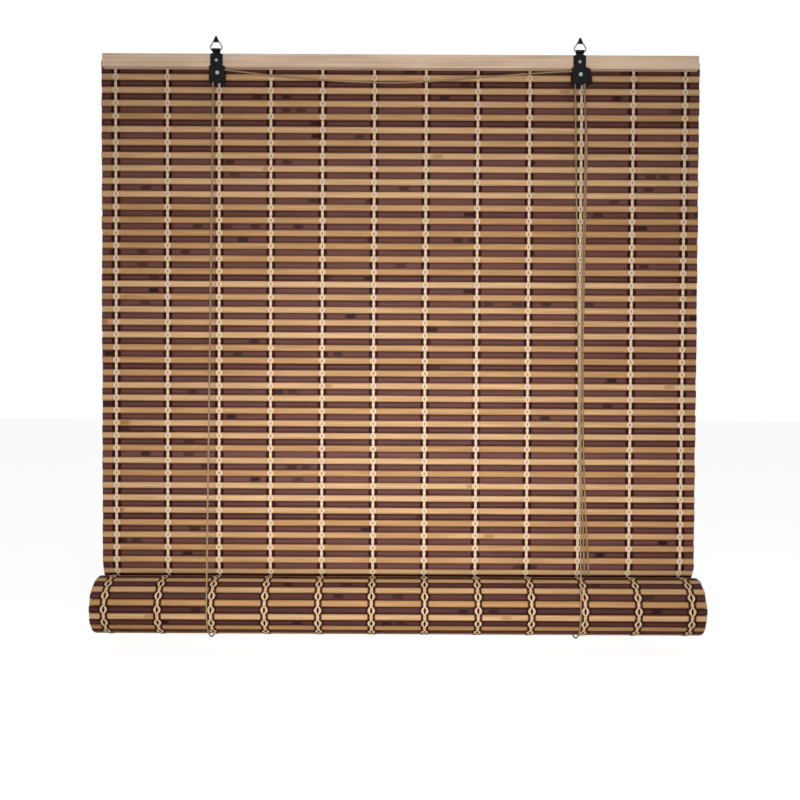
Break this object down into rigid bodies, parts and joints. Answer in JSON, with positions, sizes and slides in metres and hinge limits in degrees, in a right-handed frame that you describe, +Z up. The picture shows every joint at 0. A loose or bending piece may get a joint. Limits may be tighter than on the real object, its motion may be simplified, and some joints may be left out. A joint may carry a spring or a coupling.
{
  "type": "bamboo roll up blind",
  "caption": "Bamboo slat roll up blind on a wooden head rail, partly rolled up by cords over two pulleys, with wire hanging rings and a cord lock.",
  "frame": {"origin": "middle of the head rail's top face", "axes": "+X to the viewer's right along the rail, +Y away from the viewer, +Z up"},
  "size_m": [0.8, 0.0858, 0.7954],
  "materials": {
    "pale_wood": "planed, unfinished pale softwood",
    "light_bamboo": "caramel bamboo, satin",
    "dark_bamboo": "maroon brown stained bamboo, satin",
    "rolled_bamboo": "light and dark slats by turns, satin",
    "thread": "cream cotton chain stitch",
    "cord": "khaki braided cord",
    "black_steel": "black paint, satin",
    "black_plastic": "black moulded plastic",
    "dark_wire": "dark grey steel wire",
    "bright_steel": "zinc plated steel"
  },
  "bodies": {
    "rail": {"head_rail": "pale_wood", "light_slats": "light_bamboo", "dark_slats": "dark_bamboo", "warp_01": "thread", "warp_02": "thread", "warp_03": "thread", "warp_04": "thread", "warp_05": "thread", "warp_06": "thread", "warp_07": "thread", "warp_08": "thread", "warp_09": "thread", "warp_10": "thread", "warp_11": "thread", "warp_12": "thread", "mat_staples": "bright_steel", "cord_staples": "bright_steel", "cord_knots": "cord", "hanger_plate_left": "black_steel", "hanger_plate_right": "black_steel", "plate_screw_left": "bright_steel", "plate_screw_right": "bright_steel", "pulley_cover_left": "black_steel", "lock_cover_right": "black_steel", "pulley_axle_left": "bright_steel", "pulley_axle_right": "bright_steel", "cam_pin": "black_steel", "lift_cord_left_front": "cord", "lift_cord_right_front": "cord", "lift_cord_left_back": "cord", "lift_cord_right_back": "cord", "lift_cord_right_top": "cord", "cross_cord": "cord", "pull_cord_a": "cord", "pull_cord_b": "cord"},
    "left_ring": {"hanging_ring_left": "dark_wire", "ring_tip_left": "black_plastic"},
    "right_ring": {"hanging_ring_right": "dark_wire", "ring_tip_right": "black_plastic"},
    "left_wheel": {"pulley_left": "black_plastic"},
    "right_wheel": {"pulley_right": "black_plastic"},
    "cam": {"lock_cam": "black_plastic"},
    "cord_loops": {"lift_cord_left_loop": "cord", "lift_cord_right_loop": "cord"},
    "roll": {"mat_roll": "rolled_bamboo", "bottom_rail": "pale_wood", "roll_warps": "thread"}
  },
  "joints": [
    {"name": "roll_lift", "type": "slide", "parent": "rail", "child": "cord_loops", "axis": [0, 0, 1], "range_m": [0, 0.6], "deforming": ["light_slats", "dark_slats", "warp_01", "warp_02", "warp_03", "warp_04", "warp_05", "warp_06", "warp_07", "warp_08", "warp_09", "warp_10", "warp_11", "warp_12", "lift_cord_left_front", "lift_cord_right_front", "pull_cord_a", "pull_cord_b", "lift_cord_left_back", "lift_cord_right_back"]},
    {"name": "roll_turn", "type": "hinge", "parent": "cord_loops", "child": "roll", "pos_m": [0, -0.007, -0.7311], "axis": [1, 0, 0], "range_deg": [-810, 0]},
    {"name": "left_wheel_turn", "type": "hinge", "parent": "rail", "child": "left_wheel", "pos_m": [-0.2405, -0.0094, -0.0287], "axis": [0, 1, 0], "continuous": true},
    {"name": "right_wheel_turn", "type": "hinge", "parent": "rail", "child": "right_wheel", "pos_m": [0.2365, -0.0094, -0.0287], "axis": [0, 1, 0], "continuous": true},
    {"name": "cam_swing", "type": "hinge", "parent": "rail", "child": "cam", "pos_m": [0.2465, -0.0094, -0.0253], "axis": [0, 1, 0], "range_deg": [-20, 0]},
    {"name": "left_ring_swing", "type": "hinge", "parent": "rail", "child": "left_ring", "pos_m": [-0.2435, -0.007, 0.0039], "axis": [1, 0, 0], "range_deg": [-90, 90]},
    {"name": "right_ring_swing", "type": "hinge", "parent": "rail", "child": "right_ring", "pos_m": [0.2368, -0.007, 0.0039], "axis": [1, 0, 0], "range_deg": [-90, 90]}
  ],
  "couplings": [
    {"joint": "roll_turn", "follows": "roll_lift", "rad_per_m": -23.45},
    {"joint": "left_wheel_turn", "follows": "roll_lift", "rad_per_m": 330.58},
    {"joint": "right_wheel_turn", "follows": "roll_lift", "rad_per_m": 330.58}
  ]
}
